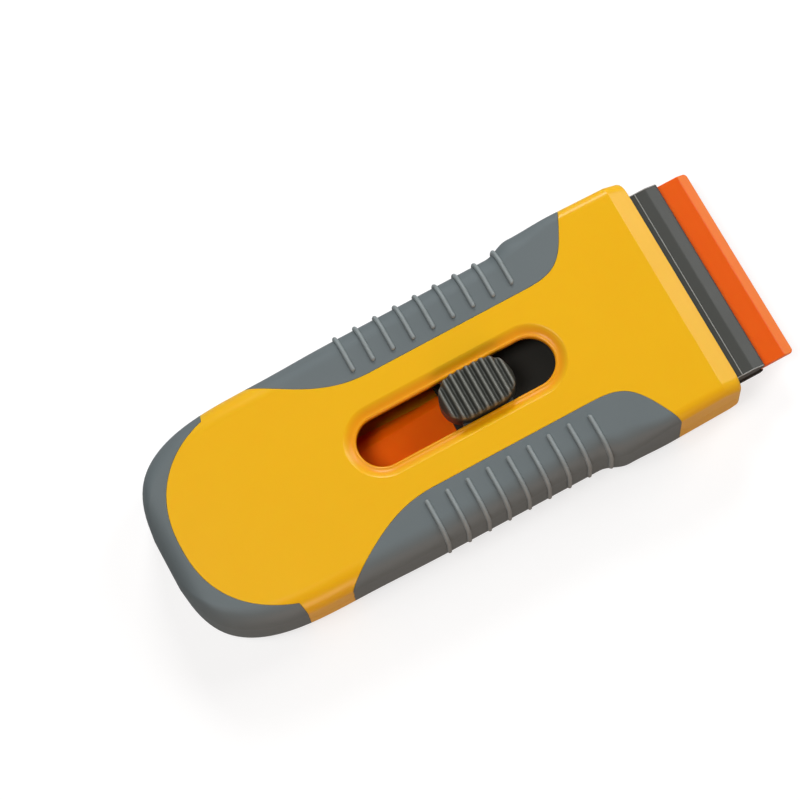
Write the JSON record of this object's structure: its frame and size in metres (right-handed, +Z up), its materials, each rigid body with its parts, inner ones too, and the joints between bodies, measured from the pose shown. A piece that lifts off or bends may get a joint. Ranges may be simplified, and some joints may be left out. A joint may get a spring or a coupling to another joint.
{
  "type": "razor blade scraper",
  "caption": "Hand scraper: a plastic blade in a hinged jaw slides out of a flat housing with soft ribbed side grips, a thumb button in a slot and a spare blade bay behind a door.",
  "frame": {"origin": "in the plane of the flat back, under the middle of the whole tool with its blade in the working place", "axes": "+X from the tail to the blade's edge, +Y to the tool's left, +Z up out of the face with the thumb button"},
  "size_m": [0.1172, 0.0456, 0.0165],
  "materials": {
    "yellow_plastic": "satin moulded plastic",
    "soft_grey": "matt soft-touch overmould",
    "dark_grey_plastic": "satin moulded plastic",
    "orange_plastic": "satin moulded plastic",
    "steel": "bright zinc plated"
  },
  "bodies": {
    "housing": {"top_shell": "yellow_plastic", "bottom_shell": "yellow_plastic", "left_grip": "soft_grey", "right_grip": "soft_grey", "tail_grip": "soft_grey", "upper_spare_blade": "orange_plastic", "lower_spare_blade": "orange_plastic", "front_left_screw": "steel", "front_right_screw": "steel", "rear_left_screw": "steel", "rear_right_screw": "steel"},
    "carrier": {"blade_carrier": "dark_grey_plastic", "scraper_blade": "orange_plastic", "clamp_pin": "steel", "button_spring": "steel", "detent_spring": "steel", "spring_rivet": "steel"},
    "clamp": {"blade_clamp": "dark_grey_plastic"},
    "button": {"thumb_button": "dark_grey_plastic"},
    "door": {"storage_door": "yellow_plastic"}
  },
  "joints": [
    {"name": "blade_slide", "type": "slide", "parent": "housing", "child": "carrier", "axis": [1, 0, 0], "range_m": [-0.0163, 0.0078], "deforming": ["detent_spring"]},
    {"name": "button_press", "type": "slide", "parent": "carrier", "child": "button", "axis": [0, 0, -1], "range_m": [0, 0.0012], "stiffness_N_per_m": 900, "springref_m": -0.0015, "deforming": ["button_spring"]},
    {"name": "clamp_hinge", "type": "hinge", "parent": "carrier", "child": "clamp", "pos_m": [0.03605, 0, 0.008], "axis": [0, -1, 0], "range_deg": [0, 7.5]},
    {"name": "storage_door_hinge", "type": "hinge", "parent": "housing", "child": "door", "pos_m": [-0.02755, 0, 0.0013], "axis": [0, 1, 0], "range_deg": [0, 95]}
  ]
}
